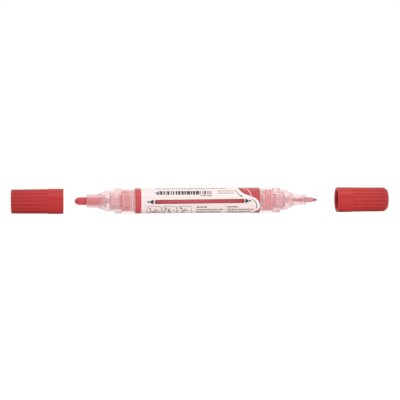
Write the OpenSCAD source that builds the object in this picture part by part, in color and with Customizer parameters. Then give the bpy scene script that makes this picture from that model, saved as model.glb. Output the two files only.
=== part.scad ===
// Double-ended pump marker: a clear tube of paint with a spring valve and a nib at each end, and two push-on caps.
// The barrel's axis is X, and the origin is the middle of the barrel. The broad nib points to -X, the fine nib to +X.
// Both ends are drawn pointing to +X, and the broad end is then mirrored. The caps are drawn pulled off, in line.

/* [Barrel] */
// Outside diameter of the barrel and of both collars
barrel_d = 15.5; // [15.4:0.1:16]
// Wall thickness of the barrel tube
barrel_wall = 1.2; // [1.1:0.05:1.25]
// Length between the two shoulders that the caps close against
body_len = 103.1; // [95:0.1:120]
// Length of the printed label
label_len = 77.3; // [60:0.1:82]
// Thickness of the label film
label_t = 0.1; // [0.05:0.01:0.15]
// Diameter of the mixing ball
ball_d = 6; // [4:0.5:7]
// Place of the mixing ball along the barrel
ball_x = 20; // [-30:1:30]

/* [Front sections] */
// Length of the collar that butts against the barrel tube
collar_len = 4.5; // [4:0.1:5.5]
// Length of the plug that goes into the barrel tube
plug_len = 5.2; // [5:0.1:6]
// Diameter of the neck that the caps grip
neck_d = 12.7; // [12.3:0.05:12.75]
// Length of the straight neck, broad end
broad_neck_len = 2.2; // [2:0.1:2.6]
// Length of the flare from the neck to the nib holder, broad end
broad_flare_len = 8.4; // [7:0.1:8.6]
// Length of the nib holder tube, broad end
broad_holder_len = 6.5; // [6:0.1:8]
// Diameter of the nib holder tube, broad end
broad_holder_d = 8.2; // [7.8:0.05:8.3]
// Length of the straight neck, fine end
fine_neck_len = 3.3; // [3:0.1:3.6]
// Length of the flare from the neck to the nib holder, fine end
fine_flare_len = 6.8; // [6.4:0.1:7.2]
// Length of the nib holder tube, fine end
fine_holder_len = 6.15; // [5.8:0.05:6.6]
// Diameter of the nib holder tube, fine end
fine_holder_d = 6.5; // [6:0.05:6.6]

/* [Nibs] */
// Diameter of the broad nib
broad_nib_d = 4.8; // [4.6:0.1:5.2]
// How far the broad nib stands out of its holder
broad_nib_out = 7.15; // [6:0.05:7.4]
// Length of the broad nib's rounded tip
broad_tip_len = 3.3; // [2.6:0.1:4]
// Diameter of the fine nib's collar
fine_nib_d = 3.2; // [2.8:0.1:3.3]
// Diameter of the fine nib's stem
fine_stem_d = 1.9; // [1.6:0.1:2]
// How far the fine nib stands out of its holder
fine_nib_out = 7.35; // [6:0.05:7.4]
// How far a nib is pushed in to open its valve
press_travel = 2.5; // [1.5:0.1:2.5]

/* [Valves] */
// Turns of each valve spring
spring_turns = 8; // [6:0.5:9]
// Wire diameter of each valve spring
spring_wire_d = 0.5; // [0.4:0.05:0.55]
// Mean diameter of each valve spring
spring_d = 3.5; // [3.2:0.1:3.8]

/* [Caps] */
// Length of each cap
cap_len = 32; // [31:0.1:34]
// Diameter of the smooth band round the cap's mouth
cap_band_d = 15.5; // [15.3:0.1:15.6]
// Diameter over the ribs at the closed end
cap_end_d = 14.9; // [14.7:0.1:15]
// Length of the smooth band
cap_band_len = 9.2; // [7:0.1:11]
// Number of flutes round each cap
flute_count = 20; // [12:1:22]
// Gap from the broad nib's tip to the pulled-off cap
broad_cap_gap = 6.9; // [4:0.05:20]
// Gap from the fine nib's tip to the pulled-off cap
fine_cap_gap = 12.3; // [4:0.05:20]

/* [Hidden] */
turn_fn = 96;

// Barrel
barrel_r = barrel_d / 2;
bore_r = barrel_r - barrel_wall;
ball_lift = 0.03;

// Stations along X, from the middle of the barrel outwards
shoulder_x = body_len / 2;
joint_x = shoulder_x - collar_len;
plug_end_x = joint_x - plug_len;
gasket_top_x = shoulder_x + 2.85;
gasket_t = 0.8;
seat_x = gasket_top_x - gasket_t;
divider_x = gasket_top_x + 1.6;
nib_back_x = divider_x + press_travel + 0.7;
case_floor_x = plug_end_x + 0.25;
case_floor_t = 1.5;
broad_flare_x = shoulder_x + broad_neck_len;
broad_holder_x = broad_flare_x + broad_flare_len;
broad_front_x = broad_holder_x + broad_holder_len;
broad_tip_x = broad_front_x + broad_nib_out;
fine_flare_x = shoulder_x + fine_neck_len;
fine_holder_x = fine_flare_x + fine_flare_len;
fine_front_x = fine_holder_x + fine_holder_len;
fine_tip_x = fine_front_x + fine_nib_out;

// Front sections
neck_r = neck_d / 2;
edge_r = 0.3;
plug_core_r = bore_r - 0.45;
plug_rib_r = bore_r - 0.05;
plug_rib_w = 0.6;
plug_rib_pitch = 1.1;
plug_ribs = 3;
groove_r = bore_r - 1.15;
groove_w = 1.3;
groove_x = joint_x - 0.45 - groove_w;
chamber_r = 4.25;
stem_hole_r = 1.55;
holder_draft = 0.1;
broad_bore_r = broad_nib_d / 2 + 0.15;
fine_bore_r = fine_stem_d / 2 + 0.2;
fine_mouth_r = fine_nib_d / 2 + 0.2;
fine_mouth_depth = 3.6;
fine_well_r = 2.1;
flow_groove_r = 0.45;
flow_grooves = 4;

// Valves
case_r = chamber_r - 0.05;
case_bore_r = 3.3;
case_flange_r = 5;
case_flange_t = 0.8;
port_r = 0.75;
port_ring_r = 2.3;
ports = 4;
push_rod_r = 1.2;
guide_rod_r = 1;
guide_hole_r = 1.2;
stem_head_r = 2.4;
stem_head_t = 0.9;
stem_gap = 0.02;
guide_end_x = case_floor_x - 0.6;
gasket_hole_r = 1.45;
spring_gap = 0.03;
wire_sides = 8;
wire_steps = 20; // rings to each turn of the wire
dead_turns = 1.25; // closed turns at each end

// Caps
cap_wall_end = 2;
cap_bore_r = 6.5;
cap_bore_end_r = 6;
cap_edge_r = 0.35;
cap_end_edge_r = 0.6;
cap_chamfer_len = 1.9;
cap_chamfer_depth = 1.4;
cap_recess_r = 5;
cap_recess_depth = 0.3;
gate_r = 0.7;
gate_h = 0.15;
bead_v = 1.8;
bead_w = 1.2;
bead_h = 0.08;
band_step = 0.15;
flute_r = 0.95;
flute_start_depth = 0.25;
flute_end_depth = 0.5;
flute_end_rim = 1.1;
broad_mouth_x = broad_tip_x + broad_cap_gap;
fine_mouth_x = fine_tip_x + fine_cap_gap;

// Cap liners
liner_front = 11.5;
liner_wall = 0.8;
liner_floor_t = 1.1;
liner_flange_r = 5.85;
liner_lip_h = 0.1;
liner_lip_w = 1;
liner_fins = 6;
liner_fin_t = 0.8;
liner_fin_len = 8;
liner_fin_root = 0.25; // how far each fin goes into the cup and the flange
liner_slack = 0.22;

// A point on an arc round c, as a list from angle a0 to a1
function arc(c, r, a0, a1, n = 5) =
    [for (i = [0:n]) c + r * [cos(a0 + (a1 - a0) * i / n), sin(a0 + (a1 - a0) * i / n)]];

// The flare of a front section, from radius r0 at x0 down to r1, softer at its start as power grows
function flare(r0, r1, x0, length, power, n = 14) =
    [for (i = [0:n]) [r1 + (r0 - r1) * (1 + cos(180 * pow(i / n, power))) / 2, x0 + length * i / n]];

// A solid turned about X from an outline of [radius, x] points
module turned(outline) {
    rotate([0, 90, 0]) rotate_extrude($fn = turn_fn) polygon(outline);
}

// A straight hole or rod along X
module rod(r, x0, x1) {
    translate([x0, 0, 0]) rotate([0, 90, 0]) cylinder(r = r, h = x1 - x0, $fn = 48);
}

// Copies of children turned evenly about X
module around(count) {
    for (i = [0:count - 1]) rotate([i * 360 / count, 0, 0]) children();
}

// The broad end points to -X
module broad_side() {
    mirror([1, 0, 0]) children();
}

// ---- Barrel ----

module barrel_tube() {
    color([0.94, 0.80, 0.80, 0.6])
    turned([
        [bore_r, -joint_x + edge_r], [bore_r + edge_r, -joint_x], [barrel_r, -joint_x],
        [barrel_r, joint_x], [bore_r + edge_r, joint_x], [bore_r, joint_x - edge_r]]);
}

module label_sleeve() {
    half = label_len / 2;
    color([0.97, 0.93, 0.92])
    turned([[barrel_r, -half], [barrel_r + label_t, -half], [barrel_r + label_t, half], [barrel_r, half]]);
}

module mixing_ball() {
    color([0.75, 0.76, 0.78])
    translate([ball_x, 0, -(bore_r - ball_d / 2 - ball_lift)]) sphere(d = ball_d, $fn = 48);
}

// ---- Front sections ----

// The plug's outline from the joint inwards: the O-ring's groove, then the snap ribs
function plug_outline() = concat(
    [[plug_core_r, joint_x], [plug_core_r, groove_x + groove_w], [groove_r, groove_x + groove_w],
     [groove_r, groove_x], [plug_core_r, groove_x]],
    [for (i = [0:plug_ribs - 1]) let (x = groove_x - 0.25 - i * plug_rib_pitch)
        each [[plug_core_r, x], [plug_rib_r, x - 0.1], [plug_rib_r, x - plug_rib_w + 0.1],
              [plug_core_r, x - plug_rib_w]]],
    [[plug_core_r, plug_end_x + 0.2], [plug_core_r - 0.2, plug_end_x]]);

// The inside from the plug's end out to the divider in front of the valve
function chamber_outline() = [
    [chamber_r, plug_end_x], [chamber_r, gasket_top_x], [stem_hole_r, gasket_top_x], [stem_hole_r, divider_x]];

// The nose's outside points, from the front to the neck
function nose(front_x, flare_x, length, holder_r, power) = let (
    curve = flare(neck_r, holder_r + holder_draft, flare_x, length, power),
    last = len(curve) - 1)
    concat(arc([holder_r - edge_r, front_x - edge_r], edge_r, 90, 0), [for (i = [0:last]) curve[last - i]]);

// The neck's foot, the shoulder and the collar
function collar_outline() = concat(
    [[neck_r, shoulder_x]],
    arc([barrel_r - edge_r, shoulder_x - edge_r], edge_r, 90, 0),
    [[barrel_r, joint_x]]);

module broad_front_section() {
    color([0.93, 0.78, 0.79, 0.6])
    broad_side() difference() {
        turned(concat(
            [[broad_bore_r, divider_x], [broad_bore_r, broad_front_x - edge_r],
             [broad_bore_r + edge_r, broad_front_x]],
            nose(broad_front_x, broad_flare_x, broad_flare_len, broad_holder_d / 2, 1.5),
            collar_outline(), plug_outline(), chamber_outline()));
        around(flow_grooves)
            translate([0, 0, broad_bore_r]) rod(flow_groove_r, divider_x, broad_front_x - 2);
    }
}

module fine_front_section() {
    mouth_floor_x = fine_front_x - fine_mouth_depth;
    well_x = nib_back_x + 0.5;
    color([0.93, 0.80, 0.80, 0.6])
    turned(concat(
        [[fine_well_r, divider_x], [fine_well_r, well_x - 0.6], [fine_bore_r, well_x + 0.3],
         [fine_bore_r, mouth_floor_x], [fine_mouth_r, mouth_floor_x + 0.2],
         [fine_mouth_r, fine_front_x - 0.2], [fine_mouth_r + 0.2, fine_front_x]],
        nose(fine_front_x, fine_flare_x, fine_flare_len, fine_holder_d / 2, 1),
        collar_outline(), plug_outline(), chamber_outline()));
}

// ---- Valve pieces, the same at both ends ----

module o_ring() {
    section_r = (bore_r - groove_r) / 2 - 0.02;
    color([0.90, 0.72, 0.73])
    translate([groove_x + groove_w / 2, 0, 0]) rotate([0, 90, 0])
        rotate_extrude($fn = turn_fn) translate([(bore_r + groove_r) / 2, 0]) circle(r = section_r, $fn = 32);
}

module valve_case() {
    back_x = case_floor_x - case_floor_t;
    color([0.95, 0.93, 0.92, 0.8])
    difference() {
        turned([
            [guide_hole_r, back_x], [case_r, back_x], [case_r, plug_end_x - case_flange_t],
            [case_flange_r, plug_end_x - case_flange_t], [case_flange_r, plug_end_x],
            [case_r, plug_end_x], [case_r, seat_x], [case_bore_r, seat_x],
            [case_bore_r, case_floor_x], [guide_hole_r, case_floor_x]]);
        around(ports) translate([0, 0, port_ring_r]) rod(port_r, back_x - 1, case_floor_x + 1);
    }
}

module valve_gasket() {
    color([0.74, 0.48, 0.50])
    turned([[gasket_hole_r, seat_x], [case_r, seat_x], [case_r, gasket_top_x], [gasket_hole_r, gasket_top_x]]);
}

module valve_stem() {
    head_x = seat_x - stem_gap;
    color([0.96, 0.95, 0.93])
    turned([
        [0, nib_back_x], [push_rod_r - 0.2, nib_back_x], [push_rod_r, nib_back_x - 0.2], [push_rod_r, head_x],
        [stem_head_r, head_x], [stem_head_r, head_x - stem_head_t],
        [guide_rod_r, head_x - stem_head_t], [guide_rod_r, guide_end_x + 0.3],
        [guide_rod_r - 0.3, guide_end_x], [0, guide_end_x]]);
}

// Height along the spring, as a share of its length, at turn t: closed turns at the ends, even pitch between
function spring_rise(t) = let (
    dead_pitch = spring_wire_d * 1.08,
    dead = dead_turns * dead_pitch,
    live = (spring_span() - 2 * dead) / (spring_turns - 2 * dead_turns))
    t < dead_turns ? t * dead_pitch
    : t > spring_turns - dead_turns ? spring_span() - (spring_turns - t) * dead_pitch
    : dead + (t - dead_turns) * live;

function spring_span() =
    (seat_x - stem_gap - stem_head_t) - case_floor_x - 2 * spring_gap - spring_wire_d;

module valve_spring() {
    rings = spring_turns * wire_steps;
    wire_r = spring_wire_d / 2;
    start_x = case_floor_x + spring_gap + wire_r;
    points = [for (i = [0:rings]) let (t = i / wire_steps, a = 360 * t)
        for (k = [0:wire_sides - 1]) let (
            b = 360 * k / wire_sides,
            r = spring_d / 2 + wire_r * cos(b))
            [start_x + spring_rise(t) + wire_r * sin(b), r * cos(a), r * sin(a)]];
    sides = [for (i = [0:rings - 1]) for (k = [0:wire_sides - 1]) let (
        n = (k + 1) % wire_sides, here = i * wire_sides, next = here + wire_sides)
        [here + k, here + n, next + n, next + k]];
    near_end = [[for (k = [wire_sides - 1:-1:0]) k]];
    far_end = [[for (k = [0:wire_sides - 1]) rings * wire_sides + k]];
    color([0.72, 0.73, 0.75])
    polyhedron(points, concat(sides, near_end, far_end), convexity = 10);
}

// ---- Nibs ----

module broad_nib() {
    r = broad_nib_d / 2;
    tip_start_x = broad_tip_x - broad_tip_len;
    color([0.82, 0.30, 0.32])
    broad_side() turned(concat(
        [[0, nib_back_x], [r - 0.5, nib_back_x], [r, nib_back_x + 0.8]],
        [for (a = [0:7.5:90]) [r * cos(a), tip_start_x + broad_tip_len * sin(a)]]));
}

module fine_nib() {
    collar_r = fine_nib_d / 2;
    collar_back_x = fine_front_x - 0.8;
    cone_x = fine_tip_x - 3.6;
    ball_r = 0.55;
    color([0.84, 0.45, 0.52])
    turned(concat(
        [[0, nib_back_x], [fine_stem_d / 2, nib_back_x], [fine_stem_d / 2, collar_back_x],
         [collar_r - 0.3, collar_back_x], [collar_r, collar_back_x + 0.4], [collar_r, cone_x - 0.5],
         [collar_r - 0.08, cone_x]],
        arc([0, fine_tip_x - ball_r], ball_r, 18, 90, 6)));
}

// ---- Caps, drawn from the mouth at x = 0 to the closed end ----

// The closed end's outer edge: rounded, or chamfered
function cap_end_outline(chamfered) = let (r = cap_end_d / 2) chamfered
    ? [[r, cap_len - cap_chamfer_len], [r - cap_chamfer_depth, cap_len]]
    : arc([r - cap_end_edge_r, cap_len - cap_end_edge_r], cap_end_edge_r, 0, 90);

// A shell whose first flute is turned away from +Z by flute_turn
module cap_shell(chamfered, flute_turn) {
    band_r = cap_band_d / 2;
    end_r = cap_end_d / 2;
    grip_start = cap_band_len + band_step;
    grip_start_r = band_r - band_step;
    floor_v = cap_len - cap_wall_end;
    recess_v = cap_len - cap_recess_depth;
    flute_stop = cap_len - (chamfered ? 0 : flute_end_rim);
    flute_tilt = atan((flute_end_depth - flute_start_depth + grip_start_r - end_r) / (cap_len - grip_start));
    difference() {
        turned(concat(
            arc([band_r - cap_edge_r, cap_edge_r], cap_edge_r, -90, 0),
            [[band_r, cap_band_len], [grip_start_r, grip_start]],
            cap_end_outline(chamfered),
            [[cap_recess_r + 0.3, cap_len], [cap_recess_r, recess_v], [gate_r, recess_v],
             [gate_r - 0.1, recess_v + gate_h], [0, recess_v + gate_h], [0, floor_v],
             [cap_bore_end_r - 0.4, floor_v], [cap_bore_end_r, floor_v - 0.4],
             [cap_bore_r, bead_v + bead_w / 2], [cap_bore_r - bead_h, bead_v + bead_w / 6],
             [cap_bore_r - bead_h, bead_v - bead_w / 6], [cap_bore_r, bead_v - bead_w / 2],
             [cap_bore_r, 0.5], [cap_bore_r + 0.3, 0]]));
        rotate([flute_turn, 0, 0]) around(flute_count)
            translate([grip_start, 0, grip_start_r + flute_r - flute_start_depth])
                rotate([0, flute_tilt, 0]) rod(flute_r, 0, flute_stop - grip_start);
    }
}

module cap_liner(holder_r) {
    inner_r = holder_r + liner_slack;
    outer_r = inner_r + liner_wall;
    flange_v = cap_len - cap_wall_end - 0.05;
    floor_v = flange_v - liner_floor_t;
    fin_h = liner_flange_r - 0.3 - outer_r + liner_fin_root;
    turned([
        [0, flange_v], [liner_flange_r - 0.35, flange_v], [liner_flange_r - 0.1, flange_v - 0.45],
        [liner_flange_r - 0.1, floor_v],
        [outer_r, floor_v], [outer_r, liner_front + 0.3], [outer_r - 0.3, liner_front],
        [inner_r + 0.2, liner_front], [inner_r - liner_lip_h, liner_front + 0.5],
        [inner_r - liner_lip_h, liner_front + 0.5 + liner_lip_w], [inner_r, liner_front + 2],
        [inner_r, floor_v], [0, floor_v]]);
    around(liner_fins)
        translate([floor_v - liner_fin_len, -liner_fin_t / 2, outer_r - liner_fin_root])
            cube([liner_fin_len + liner_fin_root, liner_fin_t, fin_h]);
}

module broad_cap_shell() {
    color([0.74, 0.22, 0.21]) broad_side() translate([broad_mouth_x, 0, 0]) cap_shell(false, 0);
}

module broad_cap_liner() {
    color([0.92, 0.88, 0.86]) broad_side() translate([broad_mouth_x, 0, 0]) cap_liner(broad_holder_d / 2);
}

module fine_cap_shell() {
    color([0.76, 0.25, 0.22]) translate([fine_mouth_x, 0, 0]) cap_shell(true, 180 / flute_count);
}

module fine_cap_liner() {
    color([0.92, 0.88, 0.86]) translate([fine_mouth_x, 0, 0]) cap_liner(fine_holder_d / 2);
}

barrel_tube();
label_sleeve();
mixing_ball();
broad_front_section();
broad_side() o_ring();  // broad_o_ring
broad_side() valve_case();  // broad_valve_case
broad_side() valve_gasket();  // broad_valve_gasket
broad_side() valve_spring();  // broad_valve_spring
broad_side() valve_stem();  // broad_valve_stem
broad_nib();
broad_cap_shell();
broad_cap_liner();
fine_front_section();
o_ring();  // fine_o_ring
valve_case();  // fine_valve_case
valve_gasket();  // fine_valve_gasket
valve_spring();  // fine_valve_spring
valve_stem();  // fine_valve_stem
fine_nib();
fine_cap_shell();
fine_cap_liner();
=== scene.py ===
import math
import random

import bmesh
import bpy
from mathutils import Matrix, Vector


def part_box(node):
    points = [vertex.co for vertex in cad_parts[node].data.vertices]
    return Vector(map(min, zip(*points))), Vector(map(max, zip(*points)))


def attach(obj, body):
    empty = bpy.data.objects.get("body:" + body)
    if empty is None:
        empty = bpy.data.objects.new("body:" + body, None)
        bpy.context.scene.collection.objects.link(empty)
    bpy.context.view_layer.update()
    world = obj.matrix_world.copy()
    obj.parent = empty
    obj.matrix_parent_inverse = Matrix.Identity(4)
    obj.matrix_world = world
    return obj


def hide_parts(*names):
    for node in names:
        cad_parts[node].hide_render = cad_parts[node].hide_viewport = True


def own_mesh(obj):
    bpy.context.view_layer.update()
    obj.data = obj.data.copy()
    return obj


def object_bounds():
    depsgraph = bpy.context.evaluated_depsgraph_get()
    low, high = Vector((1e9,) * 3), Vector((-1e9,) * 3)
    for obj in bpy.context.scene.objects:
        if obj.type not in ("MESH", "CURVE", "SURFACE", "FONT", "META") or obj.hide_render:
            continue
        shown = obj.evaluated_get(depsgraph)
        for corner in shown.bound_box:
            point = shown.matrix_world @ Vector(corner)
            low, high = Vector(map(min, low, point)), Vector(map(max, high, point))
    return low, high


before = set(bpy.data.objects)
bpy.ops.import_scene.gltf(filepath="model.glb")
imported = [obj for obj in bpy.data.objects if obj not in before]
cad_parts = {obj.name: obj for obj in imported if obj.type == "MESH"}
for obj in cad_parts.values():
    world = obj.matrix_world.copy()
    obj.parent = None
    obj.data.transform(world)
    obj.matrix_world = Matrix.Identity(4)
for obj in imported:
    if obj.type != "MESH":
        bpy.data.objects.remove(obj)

# A double-ended pump marker lying uncapped. Lengths here are in millimetres until mesh() or wrapped() turns
# them into metres. An outline is a closed list of (radius, x) points, turned about the barrel's axis, which
# is X. The fine end points along +X. Places at the broad end are its mirror image.

MM = 0.001
TOUCHING = 1e-6  # points closer than this are one point
cad_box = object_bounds()


# ---- Places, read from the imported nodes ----

def low(node):
    """The node's lowest X, in millimetres."""
    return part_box(node)[0][0] / MM


def high(node, axis=0):
    """The node's highest coordinate along an axis, in millimetres."""
    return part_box(node)[1][axis] / MM


TUBE_WALL = 1.2
CASE_PAST_SHOULDER = 2.05
DIVIDER_THICKNESS = 1.6
NECK_R = 6.35
CHAMBER_R = 4.25
BROAD_BORE_R = 2.55

barrel_r = high("barrel_tube", 1)
barrel_end = high("barrel_tube")
bore_r = barrel_r - TUBE_WALL
collar_r = barrel_r - 0.1
label_r = high("label_sleeve", 2)
label_end = high("label_sleeve")
plug_end = low("fine_front_section")
shoulder = high("fine_valve_case") - CASE_PAST_SHOULDER
gasket_low = low("fine_valve_gasket")
gasket_top = high("fine_valve_gasket")
divider = gasket_top + DIVIDER_THICKNESS
nib_back = low("fine_nib")
broad_front = -low("broad_front_section")
fine_front = high("fine_front_section")


# ---- Outlines ----

def arc(centre, radius, start, end, steps=6):
    """Points on an arc round a centre, from one angle to another in degrees."""
    angles = [math.radians(start + (end - start) * i / steps) for i in range(steps + 1)]
    return [(centre[0] + radius * math.cos(a), centre[1] + radius * math.sin(a)) for a in angles]


def rounded(outline, radius, sharpest=25):
    """The outline with each corner that turns by more than sharpest degrees rounded off."""
    steps = 3
    most = 0.42  # the share of a straight that one corner may use
    done = []
    count = len(outline)
    for i in range(count):
        here = Vector(outline[i])
        back = Vector(outline[i - 1]) - here
        ahead = Vector(outline[(i + 1) % count]) - here
        if min(back.length, ahead.length) < TOUCHING:
            continue
        turn = math.pi - back.angle(ahead)
        on_axis = here.x < TOUCHING
        if on_axis or math.degrees(turn) < sharpest:
            done.append(tuple(here))
            continue
        cut = min(radius * math.tan(turn / 2), most * back.length, most * ahead.length)
        start = here + back.normalized() * cut
        end = here + ahead.normalized() * cut
        for k in range(steps + 1):
            t = k / steps
            point = start * (1 - t) ** 2 + here * 2 * t * (1 - t) + end * t ** 2
            done.append(tuple(point))
    return done


def flare(r0, r1, x0, length, power):
    """A cosine flare from radius r0 at x0 down to r1. A power over 1 keeps it wide for longer."""
    steps = 22
    shares = [i / steps for i in range(steps + 1)]
    return [(r1 + (r0 - r1) * (1 + math.cos(math.pi * t ** power)) / 2, x0 + length * t) for t in shares]


def stepped(outline, longest):
    """The outline with its long stretches along X cut into shorter ones."""
    done = []
    for i, point in enumerate(outline):
        ahead = outline[(i + 1) % len(outline)]
        cuts = max(1, math.ceil(abs(ahead[1] - point[1]) / longest))
        for k in range(cuts):
            t = k / cuts
            done.append((point[0] + (ahead[0] - point[0]) * t, point[1] + (ahead[1] - point[1]) * t))
    return done


# ---- Meshes ----

def mesh(name, points, faces, body, material):
    """A smooth piece made from points in millimetres, riding on a body."""
    data = bpy.data.meshes.new(name)
    data.from_pydata([Vector(p) * MM for p in points], [], faces)
    data.validate()
    data.polygons.foreach_set("use_smooth", [True] * len(data.polygons))
    piece = bpy.data.objects.new(name, data)
    bpy.context.scene.collection.objects.link(piece)
    data.materials.append(material)
    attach(piece, body)
    return piece


def turned(name, outline, body, material, side=1, around=144, shape=None):
    """An outline turned about X. side -1 mirrors it to the broad end. shape(radius, x, angle) may change a
    radius. Weighted normals keep its flat faces flat beside rounded edges."""
    points, rings = [], []
    for radius, x in outline:
        if radius < TOUCHING:
            rings.append([len(points)])
            points.append((side * x, 0, 0))
            continue
        ring = []
        for k in range(around):
            angle = 2 * math.pi * k / around
            r = shape(radius, x, angle) if shape else radius
            ring.append(len(points))
            points.append((side * x, r * math.sin(angle), r * math.cos(angle)))
        rings.append(ring)
    faces = []
    for i, ring in enumerate(rings):
        ahead = rings[(i + 1) % len(rings)]
        if len(ring) == 1 and len(ahead) == 1:
            continue
        for k in range(around):
            n = (k + 1) % around
            corners = [ring[k % len(ring)], ring[n % len(ring)], ahead[n % len(ahead)], ahead[k % len(ahead)]]
            face = list(dict.fromkeys(corners))
            faces.append(face if side > 0 else face[::-1])
    piece = mesh(name, points, faces, body, material)
    bm = bmesh.new()
    bm.from_mesh(piece.data)
    bmesh.ops.recalc_face_normals(bm, faces=bm.faces)
    bm.to_mesh(piece.data)
    bm.free()
    piece.modifiers.new("normals", "WEIGHTED_NORMAL").keep_sharp = True
    return piece


# ---- Materials ----

def srgb(r, g, b):
    """A display colour, 0 to 255, as the linear colour that a shader takes."""
    def linear(c):
        c /= 255
        return c / 12.92 if c <= 0.04045 else ((c + 0.055) / 1.055) ** 2.4
    return (linear(r), linear(g), linear(b), 1)


def shader(name, **settings):
    """A new material with its Principled node set, as (material, nodes, links, principled node)."""
    material = bpy.data.materials.new(name)
    material.use_nodes = True
    nodes, links = material.node_tree.nodes, material.node_tree.links
    principled = nodes["Principled BSDF"]
    for socket, value in settings.items():
        principled.inputs[socket.replace("_", " ")].default_value = value
    return material, nodes, links, principled


def speckle(nodes, links, scale, detail, stretch=(1, 1, 1), roughness=0.55):
    """A noise texture in the frame's own metres, stretched along the axes, as its output socket."""
    place = nodes.new("ShaderNodeTexCoord")
    mapping = nodes.new("ShaderNodeMapping")
    mapping.inputs["Scale"].default_value = stretch
    texture = nodes.new("ShaderNodeTexNoise")
    texture.inputs["Scale"].default_value = scale
    texture.inputs["Detail"].default_value = detail
    texture.inputs["Roughness"].default_value = roughness
    links.new(place.outputs["Object"], mapping.inputs["Vector"])
    links.new(mapping.outputs["Vector"], texture.inputs["Vector"])
    return texture.outputs["Fac"]


def ramp(nodes, links, source, stops):
    """A colour ramp over a socket. stops are (place, colour)."""
    node = nodes.new("ShaderNodeValToRGB")
    elements = node.color_ramp.elements
    while len(elements) < len(stops):
        elements.new(0.5)
    for element, (place, colour) in zip(elements, stops):
        element.position = place
        element.color = colour
    links.new(source, node.inputs["Fac"])
    return node.outputs["Color"]


def levels(nodes, links, source, low_value, high_value, start=0.3, end=0.7):
    """A number that follows a socket: low_value where it is start, high_value where it is end."""
    node = nodes.new("ShaderNodeMapRange")
    node.inputs["From Min"].default_value = start
    node.inputs["From Max"].default_value = end
    node.inputs["To Min"].default_value = low_value
    node.inputs["To Max"].default_value = high_value
    links.new(source, node.inputs["Value"])
    return node.outputs["Result"]


def distance_out(nodes, links):
    """The distance from the marker's middle along X, in metres, as an output socket."""
    place = nodes.new("ShaderNodeTexCoord")
    parts = nodes.new("ShaderNodeSeparateXYZ")
    outwards = nodes.new("ShaderNodeMath")
    outwards.operation = "ABSOLUTE"
    links.new(place.outputs["Object"], parts.inputs["Vector"])
    links.new(parts.outputs["X"], outwards.inputs[0])
    return outwards.outputs["Value"]


def tinted(nodes, links, base, colour, share):
    """A colour socket mixed towards one colour by a share socket."""
    mix = nodes.new("ShaderNodeMixRGB")
    mix.inputs["Color2"].default_value = colour
    links.new(share, mix.inputs["Fac"])
    links.new(base, mix.inputs["Color1"])
    return mix.outputs["Color"]


def relief(nodes, links, principled, source, depth_mm, strength):
    """Bump from a noise socket."""
    node = nodes.new("ShaderNodeBump")
    node.inputs["Strength"].default_value = strength
    node.inputs["Distance"].default_value = depth_mm * MM
    links.new(source, node.inputs["Height"])
    links.new(node.outputs["Normal"], principled.inputs["Normal"])


def clear_plastic(name, pale, stained, body, nose, rough, painted_glow, cover=1.0):
    """Cloudy plastic with marks that run round it, stained by paint. body and nose are the shares of light
    let through near the barrel and in the nose. Its emission is painted light: a faint pink glow from the
    plastic itself that stands in for the light that scatters inside it. cover is the share of each skin that
    isn't see-through."""
    nose_start, nose_full = 58 * MM, 61 * MM
    # The pink emission is painted light, a glow standing in for light scattered inside the plastic.
    material, nodes, links, principled = shader(
        name, IOR=1.3, Alpha=cover, Coat_Weight=1.0, Coat_Roughness=0.05,
        Emission_Color=(1.0, 0.55, 0.57, 1), Emission_Strength=painted_glow)
    let_through = levels(nodes, links, distance_out(nodes, links), body, nose, nose_start, nose_full)
    links.new(let_through, principled.inputs["Transmission Weight"])
    place = nodes.new("ShaderNodeTexCoord")
    rings = nodes.new("ShaderNodeTexWave")
    rings.inputs["Scale"].default_value = 240
    rings.inputs["Distortion"].default_value = 1.2
    rings.inputs["Detail"].default_value = 1
    rings.inputs["Detail Scale"].default_value = 0.3
    links.new(place.outputs["Object"], rings.inputs["Vector"])
    stain = ramp(nodes, links, rings.outputs["Fac"], [(0.1, pale), (0.9, stained)])
    links.new(stain, principled.inputs["Base Color"])
    cloud = speckle(nodes, links, 260, 3, (0.5, 1, 1))
    links.new(levels(nodes, links, cloud, rough * 0.8, rough * 1.3), principled.inputs["Roughness"])
    relief(nodes, links, principled, rings.outputs["Fac"], 0.02, 0.3)
    return material


def moulded_plastic(name, colour, dark, rough, grain_mm=0.012):
    """Opaque moulded plastic with faint flow marks and a fine skin."""
    material, nodes, links, principled = shader(name, IOR=1.49)
    flow = speckle(nodes, links, 180, 5, (0.35, 1, 1))
    links.new(ramp(nodes, links, flow, [(0.3, dark), (0.7, colour)]), principled.inputs["Base Color"])
    links.new(levels(nodes, links, flow, rough * 0.85, rough * 1.2), principled.inputs["Roughness"])
    skin = speckle(nodes, links, 3200, 2)
    relief(nodes, links, principled, skin, grain_mm, 0.5)
    return material


def cap_plastic(name, colour, dark, shade, rough):
    """Moulded plastic with painted shade: its colour is darker down in the flutes and inside the cap, where
    less light gets out.
    """
    darkest_shade_r, unshaded_r = 7.05 * MM, 7.5 * MM
    material = moulded_plastic(name, colour, dark, rough)
    nodes, links = material.node_tree.nodes, material.node_tree.links
    principled = nodes["Principled BSDF"]
    flow = principled.inputs["Base Color"].links[0].from_socket
    place = nodes.new("ShaderNodeTexCoord")
    across = nodes.new("ShaderNodeVectorMath")
    across.operation = "MULTIPLY"
    across.inputs[1].default_value = (0, 1, 1)
    radius = nodes.new("ShaderNodeVectorMath")
    radius.operation = "LENGTH"
    links.new(place.outputs["Object"], across.inputs[0])
    links.new(across.outputs["Vector"], radius.inputs[0])
    # Painted shade: below the ribs' radius, in the flutes and the bore, the colour is mixed towards the shade
    # colour.
    share = levels(nodes, links, radius.outputs["Value"], 1, 0, darkest_shade_r, unshaded_r)
    links.new(tinted(nodes, links, flow, shade, share), principled.inputs["Base Color"])
    return material


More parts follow.
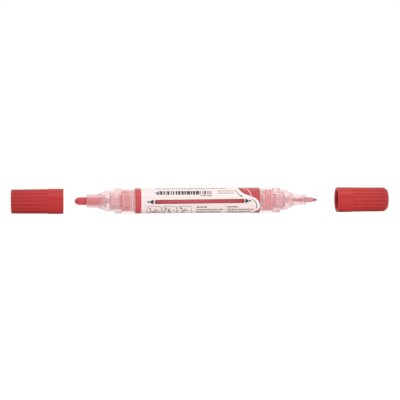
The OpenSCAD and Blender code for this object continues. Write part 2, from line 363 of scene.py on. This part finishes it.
def felt(name, stops, soaked=None):
    """Pressed fibre: streaks along the nib, and a matt fuzzy skin. soaked is (colour, start, full): a colour,
    and the distances from the middle at which it begins and is complete."""
    material, nodes, links, principled = shader(
        name, IOR=1.4, Roughness=0.8, Sheen_Weight=0.25, Sheen_Roughness=0.5)
    fibres = speckle(nodes, links, 3400, 5, (0.16, 1, 1), 0.7)
    colour = ramp(nodes, links, fibres, stops)
    if soaked:
        soak, start, full = soaked
        share = levels(nodes, links, distance_out(nodes, links), 0, 1, start * MM, full * MM)
        colour = tinted(nodes, links, colour, soak, share)
    links.new(colour, principled.inputs["Base Color"])
    relief(nodes, links, principled, fibres, 0.05, 0.8)
    return material


def ink(name, colour, worn, rough=0.4):
    """Printing ink with small differences in its cover."""
    material, nodes, links, principled = shader(name, IOR=1.5, Coat_Weight=0.5, Coat_Roughness=0.12)
    cover = speckle(nodes, links, 1500, 4)
    links.new(ramp(nodes, links, cover, [(0.32, worn), (0.55, colour)]), principled.inputs["Base Color"])
    links.new(levels(nodes, links, cover, rough * 0.85, rough * 1.2), principled.inputs["Roughness"])
    return material


def metal(name, colour, dark, rough, scale=2200):
    """Bare metal with fine drawing marks."""
    material, nodes, links, principled = shader(name, Metallic=1.0)
    marks = speckle(nodes, links, scale, 4)
    links.new(ramp(nodes, links, marks, [(0.3, dark), (0.6, colour)]), principled.inputs["Base Color"])
    links.new(levels(nodes, links, marks, rough * 0.7, rough * 1.5), principled.inputs["Roughness"])
    return material


barrel_plastic = clear_plastic("barrel_plastic", srgb(255, 226, 228), srgb(250, 190, 196),
                               body=0, nose=0, rough=0.14, painted_glow=0, cover=0.22)
section_plastic = clear_plastic("section_plastic", srgb(252, 232, 233), srgb(252, 214, 218),
                                body=0.82, nose=0.88, rough=0.22, painted_glow=0.006)
# The shade colours are painted shade for the flutes and the cap's inside.
broad_cap_plastic = cap_plastic("broad_cap_plastic", srgb(186, 24, 24), srgb(176, 14, 16),
                                shade=srgb(160, 12, 14), rough=0.42)
fine_cap_plastic = cap_plastic("fine_cap_plastic", srgb(192, 34, 28), srgb(180, 22, 18),
                               shade=srgb(162, 16, 12), rough=0.40)
stained_plastic = moulded_plastic("stained_plastic", srgb(255, 246, 246), srgb(255, 232, 234), 0.45, 0.006)
liner_plastic = moulded_plastic("liner_plastic", srgb(236, 190, 184), srgb(220, 160, 156), 0.45, 0.006)
film_plastic = moulded_plastic("label_film", srgb(238, 225, 222), srgb(236, 219, 217), 0.28, 0.003)
broad_fibre = felt(
    "broad_fibre", [(0.30, srgb(160, 42, 50)), (0.52, srgb(202, 68, 78)), (0.75, srgb(222, 112, 118))])
fine_fibre = felt(
    "fine_fibre", [(0.30, srgb(184, 96, 114)), (0.55, srgb(216, 152, 162)), (0.8, srgb(230, 180, 186))],
    soaked=(srgb(140, 52, 76), high("fine_nib") - 3.4, high("fine_nib") - 0.6))
gasket_rubber = moulded_plastic("gasket_rubber", srgb(222, 150, 156), srgb(206, 132, 140), 0.6, 0.01)
ring_rubber = moulded_plastic("ring_rubber", srgb(250, 196, 198), srgb(240, 168, 172), 0.5, 0.01)
spring_wire = metal("spring_wire", (0.62, 0.60, 0.60, 1), (0.45, 0.40, 0.40, 1), 0.25)
ball_steel = metal("ball_steel", (0.72, 0.72, 0.73, 1), (0.55, 0.50, 0.50, 1), 0.16, 900)
red_ink = ink("red_ink", srgb(199, 54, 58), srgb(189, 44, 50), 0.24)
strip_ink = ink("strip_ink", srgb(184, 44, 50), srgb(172, 38, 44), 0.3)
deep_ink = ink("deep_ink", srgb(112, 40, 50), srgb(96, 34, 44))
black_ink = ink("black_ink", srgb(26, 22, 24), srgb(44, 38, 40))
grey_ink = ink("grey_ink", srgb(120, 110, 112), srgb(140, 130, 132))
soft_ink = ink("soft_ink", srgb(204, 84, 88), srgb(194, 70, 76))
pale_ink = ink("pale_ink", srgb(255, 248, 247), srgb(252, 240, 238))

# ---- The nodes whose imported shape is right, with a real finish ----

FINISHES = {
    "mixing_ball": ball_steel,
    "broad_o_ring": ring_rubber, "fine_o_ring": ring_rubber,
    "broad_valve_gasket": gasket_rubber, "fine_valve_gasket": gasket_rubber,
    "broad_valve_case": stained_plastic, "fine_valve_case": stained_plastic,
    "broad_valve_stem": stained_plastic, "fine_valve_stem": stained_plastic,
    "broad_cap_liner": liner_plastic, "fine_cap_liner": liner_plastic,
}
for node, material in FINISHES.items():
    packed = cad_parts[node]
    packed.data.materials.clear()
    packed.data.materials.append(material)


# ---- Barrel ----

def make_barrel():
    edge, half = 0.15, barrel_end
    outline = rounded([(bore_r, -half), (barrel_r, -half), (barrel_r, half), (bore_r, half)], edge)
    tube = turned("clear_barrel", outline, "barrel", barrel_plastic)
    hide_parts("barrel_tube")


make_barrel()


# ---- Front sections ----

def plug_outline():
    """From the joint inwards: the O-ring's groove, then the snap ribs."""
    core, rib, groove = bore_r - 0.45, bore_r - 0.05, bore_r - 1.15
    lip, groove_width, lead_in = 0.45, 1.3, 0.2
    ribs, rib_gap, rib_pitch, rib_slope, rib_length = 3, 0.25, 1.1, 0.1, 0.6
    groove_back = barrel_end - lip - groove_width
    groove_front = groove_back + groove_width
    points = [(core, barrel_end), (core, groove_front), (groove, groove_front), (groove, groove_back),
              (core, groove_back)]
    for i in range(ribs):
        x = groove_back - rib_gap - i * rib_pitch
        points += [(core, x), (rib, x - rib_slope), (rib, x - rib_length + rib_slope), (core, x - rib_length)]
    return points + [(core, plug_end + lead_in), (core - lead_in, plug_end)]


def section_outline(bore, front, flare_start, flare_length, holder_r, power):
    """A front section's whole outline, from its bore round its nose, collar and plug to the valve's chamber.
    flare_start is the distance from the shoulder."""
    edge, corner, rod_hole_r, holder_foot_r = 0.3, 0.16, 1.55, holder_r + 0.1
    curve = flare(NECK_R, holder_foot_r, shoulder + flare_start, flare_length, power)
    nose = arc((holder_r - edge, front - edge), edge, 90, 0) + curve[::-1]
    collar = [(NECK_R, shoulder), (collar_r, shoulder), (collar_r, barrel_end)]
    chamber = [(CHAMBER_R, plug_end), (CHAMBER_R, gasket_top), (rod_hole_r, gasket_top),
               (rod_hole_r, divider)]
    return rounded(bore + nose + collar + plug_outline() + chamber, corner, sharpest=32)


def make_broad_section():
    front, bore, lead_in, longest = broad_front, BROAD_BORE_R, 0.3, 2.5
    groove_depth, groove_stop = 0.42, 2

    def four_grooves(radius, x, angle):
        """Four paint grooves along the nib's bore."""
        if abs(radius - bore) > 1e-3 or not divider < x < front - groove_stop:
            return radius
        return radius + groove_depth * max(0.0, math.cos(4 * angle)) ** 6

    inside = [(bore, divider), (bore, front - lead_in), (bore + lead_in, front)]
    outline = section_outline(inside, front, flare_start=2.2, flare_length=8.4, holder_r=4.1, power=1.5)
    section = turned("broad_section", stepped(outline, longest), "barrel", section_plastic,
                     side=-1, shape=four_grooves)
    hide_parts("broad_front_section")


def make_fine_section():
    front, lead_in = fine_front, 0.2
    well, bore, mouth = 2.1, 1.15, 1.8
    well_end, mouth_floor = nib_back - 0.1, front - 3.6
    inside = [(well, divider), (well, well_end), (bore, well_end + 0.9), (bore, mouth_floor),
              (mouth, mouth_floor + lead_in), (mouth, front - lead_in), (mouth + lead_in, front)]
    outline = section_outline(inside, front, flare_start=3.3, flare_length=6.8, holder_r=3.25, power=1.0)
    section = turned("fine_section", outline, "barrel", section_plastic)
    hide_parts("fine_front_section")


make_broad_section()
make_fine_section()


# ---- Valve springs ----

def make_spring(end, side):
    """A coil with closed ends, as long as the valve spring's node."""
    node, press = end + "_valve_spring", end + "_nib_press"
    turns, closed, wire_r, coil_r, closed_pitch = 8, 1.25, 0.25, 1.75, 0.54
    steps, sides = 32, 12
    floor = min(abs(low(node)), abs(high(node)))
    length = high(node) - low(node)
    start, span = floor + wire_r, length - 2 * wire_r
    live = (span - 2 * closed * closed_pitch) / (turns - 2 * closed)

    def rise(t):
        """The wire's distance along the coil, t turns from its start."""
        if t < closed:
            return t * closed_pitch
        if t > turns - closed:
            return span - (turns - t) * closed_pitch
        return closed * closed_pitch + (t - closed) * live

    points, faces = [], []
    for i in range(turns * steps + 1):
        t = i / steps
        angle = 2 * math.pi * t
        for k in range(sides):
            b = 2 * math.pi * k / sides
            r = coil_r + wire_r * math.cos(b)
            x = start + rise(t) + wire_r * math.sin(b)
            points.append((side * x, r * math.cos(angle), r * math.sin(angle)))
    for i in range(turns * steps):
        for k in range(sides):
            n = (k + 1) % sides
            here, ahead = i * sides, (i + 1) * sides
            faces.append((here + k, here + n, ahead + n, ahead + k)[::side])
    faces.append(tuple(range(sides))[::-side])
    faces.append(tuple(turns * steps * sides + k for k in range(sides))[::side])
    spring = mesh(end + "_spring_wire", points, faces, "barrel", spring_wire)
    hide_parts(node)
    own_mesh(spring)


make_spring("broad", -1)
make_spring("fine", 1)


# ---- Nibs ----

def make_nibs():
    rng = random.Random(5)
    waves = [(rng.randint(5, 30), rng.uniform(0, 6.3), rng.uniform(0.5, 2.5)) for _ in range(9)]
    longest = 0.6

    def fuzzy(amount):
        """A shape for turned(): low ridges that wind along the nib, since cut fibre is never quite round."""
        def shape(radius, x, angle):
            total = sum(math.sin(n * angle + phase + x * twist) for n, phase, twist in waves)
            return radius + amount * total / len(waves) * min(1, radius)
        return shape

    r, tip, tip_length, chamfer, chamfer_length = 2.37, -low("broad_nib"), 3.3, 0.5, 0.8
    dome = [(r * math.cos(math.radians(a)), tip - tip_length + tip_length * math.sin(math.radians(a)))
            for a in range(0, 90, 5)]
    back = [(0, nib_back), (r - chamfer, nib_back), (r, nib_back + chamfer_length)]
    outline = stepped(back + dome + [(0, tip)], longest)
    nib = turned("broad_bullet_nib", outline, "broad_writer", broad_fibre,
                 side=-1, around=96, shape=fuzzy(0.03))
    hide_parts("broad_nib")

    stem, collar, tip, tip_r = 0.95, high("fine_nib", 1), high("fine_nib"), 0.55
    collar_back, cone_start = fine_front - 0.8, tip - 3.6
    outline = [(0, nib_back), (stem, nib_back), (stem, collar_back), (collar - 0.3, collar_back),
               (collar, collar_back + 0.4), (collar, cone_start - 0.5), (collar - 0.08, cone_start)]
    outline += arc((0, tip - tip_r), tip_r, 18, 90)[:-1] + [(0, tip)]
    nib = turned("fine_point_nib", stepped(outline, longest), "fine_writer", fine_fibre,
                 around=72, shape=fuzzy(0.015))
    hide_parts("fine_nib")


make_nibs()


# ---- Caps ----

def make_cap(end, side, chamfered, material):
    """A fluted cap shell. v is the distance from its mouth."""
    node = end + "_cap_shell"
    mouth = min(abs(low(node)), abs(high(node)))
    length = high(node) - low(node)
    band_r, end_r, band_length, step = high(node, 1), 7.45, 9.2, 0.15
    grip_start, grip_r = band_length + step, band_r - step
    edge, floor, recess, dimple = 0.35, length - 2, length - 0.3, 0.15
    bore, bead, recess_r, entry_length, corner, longest = 6.5, 6.42, 5.3, 0.15, 0.14, 0.5
    flutes, flute_r, shallow, deep = 20, 0.95, 0.25, 0.5
    stop, run_out, run_out_rise = length - (0 if chamfered else 1.1), 0.5, 0.45
    pitch = 2 * math.pi / flutes
    phase = pitch / 2 if chamfered else 0.0

    if chamfered:
        rim = [(end_r, length - 1.9), (end_r - 1.4, length)]
    else:
        rim = arc((end_r - 0.6, length - 0.6), 0.6, 0, 90)
    band = arc((band_r - edge, edge), edge, -90, 0) + [(band_r, band_length)]
    grip = [(grip_r, grip_start), (grip_r, grip_start + 0.16)]
    closed_end = [(recess_r, length), (recess_r - 0.3, recess), (0.7, recess), (0.6, recess + dimple),
                  (0, recess + dimple)]
    inside = [(0, floor), (5.6, floor), (6.0, floor - 0.4), (bore, 2.4), (bead, 2.0), (bead, 1.6),
              (bore, 1.2), (bore, 0.8), (7.1, 0)]
    outline = stepped(rounded(band + grip + rim + closed_end + inside, corner, sharpest=20), longest)

    def fluted(radius, x, angle):
        """Cuts the flutes: round grooves that deepen towards the closed end and run out before it."""
        v = x - mouth
        in_recess = radius < recess_r + 0.1
        in_bore = radius < bore + 0.01 and v < floor
        over = max(0, (v - stop) / run_out)
        if v < grip_start or in_recess or in_bore or over > 1:
            return radius
        share = min(1, (v - grip_start) / (stop - grip_start))
        surface = grip_r + (end_r - grip_r) * share
        depth = shallow + (deep - shallow) * share
        centre = surface - depth + flute_r
        off = (angle - phase + pitch / 2) % pitch - pitch / 2
        half_chord_squared = flute_r ** 2 - (centre * math.sin(off)) ** 2
        if half_chord_squared <= 0:
            return radius
        wall = centre * math.cos(off) - math.sqrt(half_chord_squared) + over * run_out_rise
        entry = min(1, (v - grip_start) / entry_length)
        return radius - max(0.0, radius - wall) * entry

    placed = [(r, mouth + v) for r, v in outline]
    shell = turned(end + "_fluted_cap", placed, end + "_cap", material,
                   side, around=360, shape=fluted)
    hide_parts(node)


make_cap("broad", -1, chamfered=False, material=broad_cap_plastic)
make_cap("fine", 1, chamfered=True, material=fine_cap_plastic)


# ---- Label ----
# Printing is laid out flat, with x along the barrel and s round it, upwards from the middle of the front, and
# is then wrapped. Words and codes are plain bars: nothing on the label can be read.

ink_r = label_r - 0.004
film_r = ink_r - 0.01
half_round = math.pi * film_r


def box(x0, x1, s0, s1):
    """A rectangle of print."""
    return [(x0, s0), (x1, s0), (x1, s1), (x0, s1)]


def words(rng, x0, x1, s, height, longest=2.2, gap=0.45):
    """A line of type shown as bars."""
    shortest, last_fit = 0.5, 0.3
    bars, x = [], x0
    while x < x1 - last_fit:
        end = min(x + rng.uniform(shortest, longest), x1)
        bars.append(box(x, end, s - height / 2, s + height / 2))
        x = end + gap * rng.uniform(0.8, 1.3)
    return bars


def stroke(points, width):
    """A line of that width through points, as quads that overlap a little at the bends."""
    overlap = 0.3
    quads = []
    for a, b in zip(points, points[1:]):
        along = (Vector(b) - Vector(a)).normalized()
        side = Vector((-along.y, along.x)) * width / 2
        over = along * width * overlap
        a, b = Vector(a) - over, Vector(b) + over
        quads.append([tuple(a - side), tuple(b - side), tuple(b + side), tuple(a + side)])
    return quads


def rounded_frame(x0, x1, s0, s1, radius, width):
    """The outline of a rounded box."""
    corners = [((x1 - radius, s1 - radius), 0), ((x0 + radius, s1 - radius), 90),
               ((x0 + radius, s0 + radius), 180), ((x1 - radius, s0 + radius), 270)]
    points = []
    for centre, start in corners:
        points += arc(centre, radius, start, start + 90, 4)
    return stroke(points + points[:1], width)


def wrapped(name, shapes, material, radius=None, thickness=0.006):
    """Flat shapes printed round the barrel as one thin piece, first cut into strips that can bend."""
    strip = 0.4
    radius = radius or ink_r
    bm = bmesh.new()
    for shape in shapes:
        bm.faces.new([bm.verts.new((x, s, 0)) for x, s in shape])
    lowest = min(v.co.y for v in bm.verts)
    highest = max(v.co.y for v in bm.verts)
    cut = strip * math.ceil(lowest / strip)
    while cut < highest:
        geometry = bm.verts[:] + bm.edges[:] + bm.faces[:]
        bmesh.ops.bisect_plane(bm, geom=geometry, dist=1e-5, plane_co=(0, cut, 0), plane_no=(0, 1, 0))
        cut += strip
    for vert in bm.verts:
        angle = vert.co.y / radius
        vert.co = Vector((vert.co.x, -radius * math.cos(angle), radius * math.sin(angle))) * MM
    for face in bm.faces:
        face.smooth = True
        face.normal_update()
        middle = face.calc_center_median()
        if face.normal.dot(Vector((0, middle.y, middle.z))) < 0:
            face.normal_flip()
    data = bpy.data.meshes.new(name)
    bm.to_mesh(data)
    bm.free()
    piece = bpy.data.objects.new(name, data)
    bpy.context.scene.collection.objects.link(piece)
    data.materials.append(material)
    solid = piece.modifiers.new("thickness", "SOLIDIFY")
    solid.thickness = thickness * MM
    solid.offset = -1
    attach(piece, "barrel")
    return piece


# Places on the edge of the red field, as (s, x)
WAVE = [(-24.6, 24.0), (-18.0, 25.5), (-13.0, 30.0), (-9.5, 34.8), (-7.6, 37.0), (-6.0, 38.0),
        (-4.2, 38.4), (-2.4, 38.2), (-0.8, 37.5), (0.6, 36.4), (1.8, 34.4), (2.8, 32.0),
        (4.0, 29.0), (5.6, 27.0), (7.6, 26.0), (10.6, 25.2), (16.0, 24.6), (24.6, 24.0)]


def wave(s, shift=0.0):
    """The edge of the red field: x as a smooth curve of s through WAVE, moved sideways by shift."""
    nudge = 0.01

    def edge(t):
        t = min(max(t, WAVE[0][0]), WAVE[-1][0] - TOUCHING)
        i = max(k for k in range(len(WAVE) - 1) if WAVE[k][0] <= t)
        slopes = []
        for k in (i, i + 1):
            before, after = WAVE[max(k - 1, 0)], WAVE[min(k + 1, len(WAVE) - 1)]
            slopes.append((after[1] - before[1]) / (after[0] - before[0]))
        (s0, x0), (s1, x1) = WAVE[i], WAVE[i + 1]
        span, u = s1 - s0, (t - s0) / (s1 - s0)
        return (x0 * (1 + 2 * u) * (1 - u) ** 2 + slopes[0] * span * u * (1 - u) ** 2
                + x1 * u * u * (3 - 2 * u) + slopes[1] * span * u * u * (u - 1))
    slope = (edge(s + nudge) - edge(s - nudge)) / (2 * nudge)
    return edge(s) + shift * math.hypot(1, slope)


def between(left, right, s0, s1):
    """Strips from one curve to another."""
    step = 0.35
    count = math.ceil((s1 - s0) / step)
    rows = [s0 + (s1 - s0) * i / count for i in range(count + 1)]
    strips = []
    for a, b in zip(rows, rows[1:]):
        strips.append([(left(a), a), (right(a), a), (right(b), b), (left(b), b)])
    return strips


def pen_tip(x, s, length, direction):
    """A small solid drawing of a nib in its holder. direction is 1 or -1, the way it points along x."""
    holder = [(0, -1.4), (0.25, -1.15), (0.5, -0.5), (0.5, 0.5), (0.25, 1.15), (0, 1.4)]
    nib = [(0.54, -0.46), (0.93, -0.4), (1, 0), (0.93, 0.4), (0.54, 0.46)]
    return [[(x + direction * length * along, s + up) for along, up in part][::direction]
            for part in (holder, nib)]


def capsule(x0, x1, s0, s1, half):
    """A strip with round ends from (x0, s0) to (x1, s1)."""
    return arc((x1 - half, s1), half, -90, 90, 8) + arc((x0 + half, s0), half, 90, 270, 8)


def make_label():
    half, off_tube, edge = label_end, 0.03, 0.02
    film_back = film_r - (label_r - barrel_r) + off_tube
    outline = rounded([(film_back, -half), (film_r, -half), (film_r, half), (film_back, half)], edge)
    film = turned("label_film", outline, "barrel", film_plastic, around=256)
    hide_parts("label_sleeve")

    rng = random.Random(11)
    top, bottom = half_round - 0.4, -half_round + 0.4
    red, black, grey, deep, pale, soft, strip = [], [], [], [], [], [], []

    # The red band round the broad end, and the red field beyond the wave at the fine end
    red.append(box(-half + 0.05, -half + 3.7, bottom, top))
    red += between(lambda s: min(wave(s), half - 0.25), lambda s: half - 0.05, bottom, top)
    pale += between(lambda s: wave(s, -1.55), lambda s: min(wave(s, -0.05), half - 0.3), -12, top)
    black += between(lambda s: wave(s, -2.2), lambda s: wave(s, -1.75), -5.5, 0.8)
    deep += stroke([(23.4, 7.0), (24.2, 5.2), (25.4, 3.8), (26.4, 3.1)], 0.5)
    deep += stroke([(26.2, 3.2), (27.3, 2.7)], 1.1)
    pale += stroke([(26.4, 10.9), (28.5, 9.5), (30.2, 8.4), (31.4, 7.2), (32.2, 5.5), (32.8, 3.8),
                    (33.0, 2.8)], 0.36)

    # The strip that stands for the marker, with a nib at each end
    left_s, right_s = -0.8, -0.45
    strip.append(capsule(-26.7, 28.7, left_s, right_s, 1.25))
    for rise in (-1.15, 1.15):
        deep += stroke([(-25.6, left_s + rise), (27.6, right_s + rise)], 0.28)
    deep += stroke(arc((-25.5, left_s), 1.15, 90, 270, 8), 0.4)
    deep += stroke(arc((27.5, right_s), 1.15, -90, 90, 8), 0.6)
    black += pen_tip(-27.4, left_s, 4.1, -1)
    black += pen_tip(29.2, right_s, 3.9, 1)
    soft += words(rng, -22, 8, -0.72, 0.4, 1.6, 0.4)

    # A row of small type, a code of bars and two lines beside it
    black += words(rng, -26.2, 18.5, 9.6, 0.9, 2.6, 0.35)
    grey += stroke([(-27.2, 5.6), (-24.6, 5.6)], 0.35)
    grey.append(box(-26.0, -24.5, 3.9, 5.3))
    x, code_end = -24.5, 8.9
    while x < code_end - 0.3:
        width = rng.choice([0.45, 0.7, 0.9, 1.1, 1.5, 2.0])
        shade = black if width > 0.8 or rng.random() < 0.5 else grey
        shade.append(box(x, min(x + width, code_end), 3.75, 6.6))
        x += width + rng.choice([0.4, 0.55, 0.8])
    deep += words(rng, 1.8, 8.8, 2.95, 0.5, 1.8, 0.2)
    black += words(rng, 12.2, 22.6, 6.5, 0.5, 2.4, 0.16)
    grey += words(rng, 12.2, 22.6, 4.75, 0.6, 2.4, 0.2)

    # Three boxes with loose strokes in them
    for i in range(3):
        x0 = -31.4 + i * 9.4
        grey += rounded_frame(x0, x0 + 8.7, -11.4, -3.8, radius=0.9, width=0.28)
    grey += stroke([(-30.4, -9.8), (-29.2, -7.0), (-27.8, -8.8), (-26.2, -6.0), (-24.4, -7.6),
                    (-23.6, -9.6)], 0.6)
    grey += stroke([(-27.6, -9.6), (-26.4, -8.0), (-25.2, -9.8)], 0.5)
    black += stroke([(-29.9, -5.0), (-29.1, -5.8)], 0.7)
    black += stroke([(-26.6, -8.4), (-25.6, -9.6)], 0.5)
    grey += stroke([(-20.9, -9.8), (-20.4, -7.6), (-19.8, -5.8)], 0.55)
    black += stroke([(-20.3, -4.7), (-19.7, -5.6)], 0.8)
    black += stroke([(-18.6, -5.6), (-18.1, -7.4), (-17.3, -9.6)], 0.55)
    grey += stroke([(-17.4, -5.4), (-17.7, -7.8), (-16.4, -9.8)], 0.5)
    grey += stroke([(-14.6, -6.2), (-15.2, -8.0)], 0.4)
    black += stroke([(-10.7, -4.7), (-10.1, -5.7)], 0.8)
    black += stroke([(-10.3, -9.6), (-9.3, -7.2), (-7.8, -5.6)], 0.55)
    grey += stroke([(-9.4, -9.8), (-8.2, -7.4), (-7.0, -6.4), (-6.4, -8.0)], 0.5)

    # Two blocks of type with a rule between them
    for x0, x1, heading in ((-0.9, 15.7, black), (18.2, 35.2, deep)):
        heading += words(rng, x0, x0 + 7.0, -4.3, 0.75, 2.4, 0.25)
        for s, end in ((-6.3, x1), (-8.5, x1 - 1.5), (-10.7, x1 - 1), (-13.2, x1 - 6)):
            grey += words(rng, x0, end, s, 0.9, 2.6, 0.3)
    grey += stroke([(17.1, -3.2), (17.1, -13.2)], 0.14)

    # The back: a heading, a wide block of type and a row of swatches
    black += words(rng, -30, -14, 21.6, 0.9, 3.0)
    for i in range(4):
        grey += words(rng, -30, 14 - 4 * i, 19.6 - 1.7 * i, 0.6)
    for i, swatch in enumerate((red, deep, grey, black, red)):
        swatch.append(box(-30 + i * 3.4, -27.6 + i * 3.4, -19.2, -17.0))
    for i in range(3):
        grey += words(rng, -10, 22 - 5 * i, -17 - 1.6 * i, 0.6)

    # The last three go over other ink, so they lie a little further out and are thinner
    wrapped("label_red_print", red, red_ink)
    wrapped("label_black_print", black, black_ink)
    wrapped("label_grey_print", grey, grey_ink)
    wrapped("label_strip_print", strip, strip_ink)
    wrapped("label_deep_print", deep, deep_ink, ink_r + 0.002, 0.004)
    wrapped("label_soft_print", soft, soft_ink, ink_r + 0.004, 0.003)
    wrapped("label_pale_print", pale, pale_ink, ink_r + 0.004, 0.003)


make_label()


# ---- Paint seen through the clear plastic ----

def wet_paint(name, colours, cover, scale, fade=None):
    """A broken coat of paint. cover is the least and most that it hides. fade is (share, from, share, to):
    how much of that cover is left, by distance from the middle."""
    start, end = 0.42, 0.58
    material, nodes, links, principled = shader(name, IOR=1.5, Roughness=0.25)
    streaks = speckle(nodes, links, scale, 5, (3.0, 0.25, 0.25), 0.6)
    colour = ramp(nodes, links, streaks, [(start, colours[0]), (0.6, colours[1])])
    links.new(colour, principled.inputs["Base Color"])
    alpha = levels(nodes, links, streaks, cover[0], cover[1], start, end)
    if fade:
        near_share, near, far_share, far = fade
        share = levels(nodes, links, distance_out(nodes, links), near_share, far_share, near * MM, far * MM)
        both = nodes.new("ShaderNodeMath")
        both.operation = "MULTIPLY"
        links.new(alpha, both.inputs[0])
        links.new(share, both.inputs[1])
        alpha = both.outputs["Value"]
    links.new(alpha, principled.inputs["Alpha"])
    return material


def paint_film(name, inner, outer, start, end, material, side, around, longest):
    """A thin layer of paint between two radii."""
    outline = stepped([(inner, start), (outer, start), (outer, end), (inner, end)], longest)
    turned(name, outline, "barrel", material, side, around)


def make_paint():
    light_red = (srgb(250, 24, 38), srgb(255, 96, 106))
    deep_red = (srgb(236, 2, 10), srgb(240, 14, 24))

    coat = wet_paint("paint_coat", light_red, (0.05, 0.3), 420)
    half = barrel_end - 0.15
    paint_film("barrel_paint", bore_r - 0.035, bore_r - 0.015, -half, half, coat, 1, around=96, longest=4)

    film = wet_paint("chamber_film", light_red, (0.85, 1.0), 420, fade=(1.0, 46.5, 0.0, 49))
    for end, side in (("broad", -1), ("fine", 1)):
        paint_film(end + "_chamber_paint", CHAMBER_R - 0.04, CHAMBER_R - 0.01, plug_end + 0.1,
                   gasket_low - 0.2, film, side, around=72, longest=2)

    thick = wet_paint("holder_paint", deep_red, (0.95, 1.0), 700,
                      fade=(0.25, nib_back - 0.2, 1.0, nib_back + 0.3))
    paint_film("broad_holder_paint", BROAD_BORE_R - 0.09, BROAD_BORE_R - 0.03, divider + 0.3,
               broad_front - 0.5, thick, -1, around=48, longest=2)


make_paint()


# ---- Floor, light and camera ----

def make_stage():
    size = 12.0
    height = min(cad_box[0].z, -label_r * MM)
    data = bpy.data.meshes.new("floor")
    corners = [(-size, -size, height), (size, -size, height), (size, size, height), (-size, size, height)]
    data.from_pydata(corners, [], [(0, 1, 2, 3)])
    floor = bpy.data.objects.new("floor", data)
    bpy.context.scene.collection.objects.link(floor)
    pale_floor = shader(
        "pale_floor", Base_Color=(0.8, 0.8, 0.8, 1), Roughness=0.9, Specular_IOR_Level=0.0,
        Emission_Color=(1, 1, 1, 1), Emission_Strength=0.25)[0]
    data.materials.append(pale_floor)

    world = bpy.data.worlds.new("studio")
    bpy.context.scene.world = world
    world.use_nodes = True
    nodes, links = world.node_tree.nodes, world.node_tree.links
    nodes["Background"].inputs["Color"].default_value = (1, 1, 1, 1)
    direction = nodes.new("ShaderNodeTexCoord")
    parts = nodes.new("ShaderNodeSeparateXYZ")
    links.new(direction.outputs["Generated"], parts.inputs["Vector"])
    # A little darker overhead than near the horizon
    strength = levels(nodes, links, parts.outputs["Z"], 1.0, 0.95, start=0.15, end=0.4)
    links.new(strength, nodes["Background"].inputs["Strength"])

    # A long soft light above and in front, aimed at the marker
    light = bpy.data.lights.new("key", "AREA")
    light.shape = "RECTANGLE"
    light.size, light.size_y, light.energy = 1.2, 0.12, 2.2
    lamp = bpy.data.objects.new("key", light)
    lamp.location = (0, -0.40, 0.85)
    lamp.rotation_euler = (-lamp.location).to_track_quat("-Z", "Y").to_euler()
    bpy.context.scene.collection.objects.link(lamp)


def make_camera():
    distance, view_width, sensor = 0.92, 0.2485, 36.0
    azimuth, roll = math.radians(-4.85), math.radians(0.34)
    aim = Vector((0.0018, 0, 0.00028))
    back = Vector((math.sin(azimuth), -math.cos(azimuth), 0))
    data = bpy.data.cameras.new("camera")
    data.sensor_width = sensor
    data.lens = sensor * distance / view_width
    data.clip_start, data.clip_end = 0.05, 50
    camera = bpy.data.objects.new("camera", data)
    camera.location = aim + back * distance
    camera.rotation_mode = "QUATERNION"
    turn = (-back).to_track_quat("-Z", "Y").to_matrix().to_4x4() @ Matrix.Rotation(-roll, 4, "Z")
    camera.rotation_quaternion = turn.to_quaternion()
    bpy.context.scene.collection.objects.link(camera)
    bpy.context.scene.camera = camera


make_stage()
make_camera()
scene = bpy.context.scene
scene.view_settings.view_transform = "Standard"
scene.cycles.max_bounces = 32
scene.cycles.diffuse_bounces = 10
scene.cycles.glossy_bounces = 24
scene.cycles.transmission_bounces = 28
scene.cycles.transparent_max_bounces = 24
